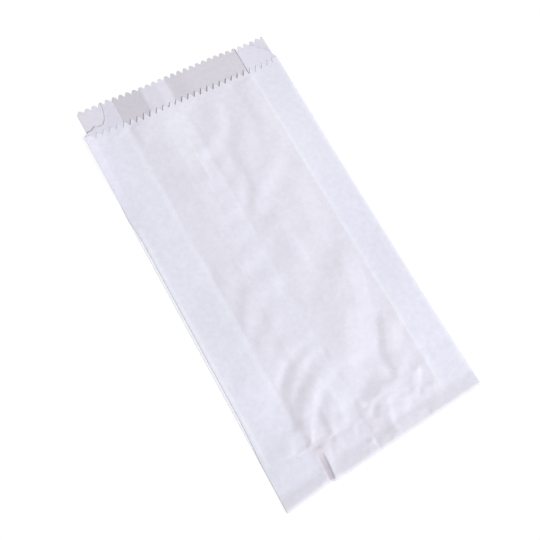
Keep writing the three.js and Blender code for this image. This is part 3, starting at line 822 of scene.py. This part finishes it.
blank = bmesh.new()
bmesh.ops.create_grid(blank, x_segments=len(columns) - 1, y_segments=row_count - 1, size=1)
layers = [blank.verts.layers.float.new(name) for name in ("sheets", "glued", "creased", "shade")]
grid = sorted(blank.verts, key=lambda v: (round(v.co.x, 5), round(v.co.y, 5)))
for index, column in enumerate(columns):
    run = column_rows(column["mouth"])
    y = np.maximum(run, 0)
    x = column["x"](y)
    px, py, pz = place(x, column["height"](x, y), run)
    py = py + skew(px, np.abs(run))
    panel = column["panel"]
    on_front = 1.0 if panel is front else 0.0
    turned = TURN_SHADE * on_front * (1 - smooth(np.abs(run), *TURN_SHADED))
    looks = (
        sheets_below(panel, x, y),
        on_front * glued_share(x, y),
        creased_share(panel, x, y),
        shade_share(panel, x, y) + turned,
    )
    rows = grid[index * row_count:(index + 1) * row_count]
    for vertex, a, b, c, *shares in zip(rows, px, py, pz, *looks):
        vertex.co = Vector((a, b - length / 2, c)) * MM
        for layer, share in zip(layers, shares):
            vertex[layer] = share
for face in blank.faces:
    face.smooth = True
bag_mesh = bpy.data.meshes.new("paper_bag_sheet")
blank.to_mesh(bag_mesh)
blank.free()
bag = bpy.data.objects.new("paper_bag_sheet", bag_mesh)
bpy.context.scene.collection.objects.link(bag)
thickness = bag.modifiers.new("thickness", "SOLIDIFY")
thickness.thickness = PAPER * MM
thickness.offset = 0


def linear(hex_colour):
    """An sRGB hex colour as the linear numbers that Blender takes."""
    parts = [int(hex_colour[i:i + 2], 16) / 255 for i in (1, 3, 5)]
    return [p / 12.92 if p <= 0.04045 else ((p + 0.055) / 1.055) ** 2.4 for p in parts] + [1]


def node(tree, kind, settings=None, **links):
    """One node with its settings, and the values of its sockets or links into them.

    Sockets go by name, or by number after an underscore.
    """
    made = tree.nodes.new(kind)
    for name, value in (settings or {}).items():
        setattr(made, name, value)
    for name, value in links.items():
        key = int(name[1:]) if name[0] == "_" else name.replace("_", " ")
        if isinstance(value, bpy.types.NodeSocket):
            tree.links.new(value, made.inputs[key])
        else:
            made.inputs[key].default_value = value
    return made


# Machine-glazed bag paper: bleached, thin enough that each sheet under it makes it lighter.
# The glazed face has a soft sheen, and its fibres show as faint clouds a few millimetres wide.
ONE_SHEET = "#d6d3dc"
TWO_SHEETS = "#e3e1ed"
THREE_SHEETS = "#e4e3f0"
FOUR_SHEETS = "#e5e5f3"
# Colour of the darker band above the bottom fold
DARKER_BAND_PAPER = "#dddbe5"
# Pale crease colour, also used for painted light and painted highlights
PALE_CREASE_AND_LIGHT_PAPER = "#f7f9ff"
SHADED_PAPER = "#bcb3c0"
SPECK_COLOUR = "#aca6b0"
SPECKS = ((-23.4, 190.2), (-59.2, 25.5))
SPECK_SIZE = 0.55
CLOUD_SIZE, CLOUD_DETAIL, CLOUD_ROUGHNESS = 4.0, 5.0, 0.65
CLOUD_LOW, CLOUD_HIGH = 0.3, 0.7
DARKER, LIGHTER = 0.955, 1.04
FIBRE_SIZE, FIBRE_DETAIL, FIBRE_ROUGHNESS = 0.35, 3.0, 0.7
FIBRE_HEIGHT, FIBRE_STRENGTH = 0.02, 0.25
GLAZE_LOW, GLAZE_HIGH = 0.5, 0.62
PAPER_IOR = 1.45

paper = bpy.data.materials.new("glazed_bag_paper")
paper.use_nodes = True
tree = paper.node_tree
tree.nodes.clear()
place_on = node(tree, "ShaderNodeTexCoord").outputs["Object"]
shares = {
    name: node(tree, "ShaderNodeAttribute", {"attribute_name": name}).outputs["Fac"]
    for name in ("sheets", "glued", "creased", "shade")
}

# The ramp runs from one sheet to four
over = node(tree, "ShaderNodeMapRange", Value=shares["sheets"], From_Min=1.0, From_Max=4.0)
ramp = node(tree, "ShaderNodeValToRGB", Fac=over.outputs["Result"])
stops = ramp.color_ramp.elements
stops[0].color = linear(ONE_SHEET)
stops[1].color = linear(FOUR_SHEETS)
for at, colour in ((1 / 3, TWO_SHEETS), (2 / 3, THREE_SHEETS)):
    stops.new(at).color = linear(colour)

# The colour is drawn towards each tint by that tint's share (the darker band, pale creases and painted
# light, painted shade), and at the specks
tints = [
    (shares["glued"], DARKER_BAND_PAPER), (shares["creased"], PALE_CREASE_AND_LIGHT_PAPER), (shares["shade"], SHADED_PAPER),
]
flat_place = node(tree, "ShaderNodeVectorMath", {"operation": "MULTIPLY"}, _0=place_on, _1=(1, 1, 0))
for speck_x, speck_y in SPECKS:
    off = node(tree, "ShaderNodeVectorMath", {"operation": "DISTANCE"}, _0=flat_place.outputs["Vector"],
               _1=(speck_x * MM, (speck_y - length / 2) * MM, 0))
    speck = node(tree, "ShaderNodeMapRange", Value=off.outputs["Value"], From_Min=SPECK_SIZE * MM,
                 From_Max=0.0)
    tints.append((speck.outputs["Result"], SPECK_COLOUR))
colour = ramp.outputs["Color"]
for share, tint in tints:
    mix = node(tree, "ShaderNodeMix", {"data_type": "RGBA"}, Factor=share, _6=colour, _7=linear(tint))
    colour = mix.outputs[2]
clouds = node(tree, "ShaderNodeTexNoise", Vector=place_on, Scale=1 / (CLOUD_SIZE * MM),
              Detail=CLOUD_DETAIL, Roughness=CLOUD_ROUGHNESS)
clouding = node(tree, "ShaderNodeMapRange", Value=clouds.outputs["Fac"], From_Min=CLOUD_LOW,
                From_Max=CLOUD_HIGH, To_Min=DARKER, To_Max=LIGHTER)
toned = node(tree, "ShaderNodeVectorMath", {"operation": "SCALE"}, Vector=colour,
             Scale=clouding.outputs["Result"])
fibres = node(tree, "ShaderNodeTexNoise", Vector=place_on, Scale=1 / (FIBRE_SIZE * MM),
              Detail=FIBRE_DETAIL, Roughness=FIBRE_ROUGHNESS)
relief = node(tree, "ShaderNodeBump", Height=fibres.outputs["Fac"], Strength=FIBRE_STRENGTH,
              Distance=FIBRE_HEIGHT * MM)
glaze = node(tree, "ShaderNodeMapRange", Value=clouds.outputs["Fac"], To_Min=GLAZE_LOW, To_Max=GLAZE_HIGH)
surface = node(tree, "ShaderNodeBsdfPrincipled", Base_Color=toned.outputs["Vector"],
               Roughness=glaze.outputs["Result"], IOR=PAPER_IOR, Normal=relief.outputs["Normal"])
node(tree, "ShaderNodeOutputMaterial", Surface=surface.outputs["BSDF"])
bag_mesh.materials.append(paper)

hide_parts("paper_bag")
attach(bag, "root")

# Floor
# A plain matt table top, big enough to fill the picture. It is pale grey to the light, and white to
# the camera, to reflections and through glass, but for the bag's soft shadow.
FLOOR_SIZE = 3.0
FLOOR_DROP = 0.2
FLOOR_PAINT, FLOOR_SHADOWED = "#e6e6e6", "#5a5a5a"
FLOOR_GLOW = 0.91
floor_sheet = bmesh.new()
bmesh.ops.create_grid(floor_sheet, x_segments=1, y_segments=1, size=FLOOR_SIZE / 2)
floor_mesh = bpy.data.meshes.new("floor")
floor_sheet.to_mesh(floor_mesh)
floor_sheet.free()
floor_mesh.transform(Matrix.Translation((0, 0, -FLOOR_DROP * MM)))
floor = bpy.data.objects.new("floor", floor_mesh)
bpy.context.scene.collection.objects.link(floor)


def seen_by_eye(tree):
    """1 for rays from the camera, in a reflection or through glass, and 0 for light on surfaces."""
    path = node(tree, "ShaderNodeLightPath").outputs
    most = path["Is Camera Ray"]
    for kind in ("Is Glossy Ray", "Is Transmission Ray"):
        most = node(tree, "ShaderNodeMath", {"operation": "MAXIMUM"}, _0=most, _1=path[kind]).outputs[0]
    return most


pale_floor = bpy.data.materials.new("pale_floor")
pale_floor.use_nodes = True
tree = pale_floor.node_tree
tree.nodes.clear()
matt = node(tree, "ShaderNodeBsdfDiffuse", Color=linear(FLOOR_PAINT)).outputs["BSDF"]
faint = node(tree, "ShaderNodeBsdfDiffuse", Color=linear(FLOOR_SHADOWED)).outputs["BSDF"]
white = node(tree, "ShaderNodeEmission", Strength=FLOOR_GLOW).outputs["Emission"]
lit = node(tree, "ShaderNodeAddShader", _0=faint, _1=white).outputs["Shader"]
mixed = node(tree, "ShaderNodeMixShader", _0=seen_by_eye(tree), _1=matt, _2=lit).outputs["Shader"]
node(tree, "ShaderNodeOutputMaterial", Surface=mixed)
floor_mesh.materials.append(pale_floor)

# Light
# A large soft window off the bottom right of the bag, slightly blue, low enough for the wrinkles
# to show. The rest of the light is a pale, slightly warm room all round.
KEY_FROM = (0.50, -0.64, 0.62)
KEY_DISTANCE = 12.0
KEY_SIZE = 3.9
KEY_POWER = 1330.0
KEY_COLOUR = (0.972, 0.990, 1.042)
AMBIENT = 0.44
ROOM_COLOUR = (1.035, 1.012, 0.947, 1)
WHITE = (1, 1, 1, 1)

key = bpy.data.objects.new("window", bpy.data.lights.new("window", "AREA"))
key.data.energy = KEY_POWER
key.data.size = KEY_SIZE
key.data.color = KEY_COLOUR
key.location = Vector(KEY_FROM).normalized() * KEY_DISTANCE
key.rotation_euler = (-Vector(KEY_FROM)).to_track_quat("-Z", "Y").to_euler()
bpy.context.scene.collection.objects.link(key)
world = bpy.data.worlds.new("studio")
world.use_nodes = True
bpy.context.scene.world = world
tree = world.node_tree
tree.nodes.clear()
around = node(tree, "ShaderNodeBackground", Color=ROOM_COLOUR, Strength=AMBIENT).outputs["Background"]
backdrop = node(tree, "ShaderNodeBackground", Color=WHITE, Strength=1.0).outputs["Background"]
mixed = node(tree, "ShaderNodeMixShader", _0=seen_by_eye(tree), _1=around, _2=backdrop).outputs["Shader"]
node(tree, "ShaderNodeOutputWorld", Surface=mixed)
bpy.context.scene.view_settings.view_transform = "Standard"
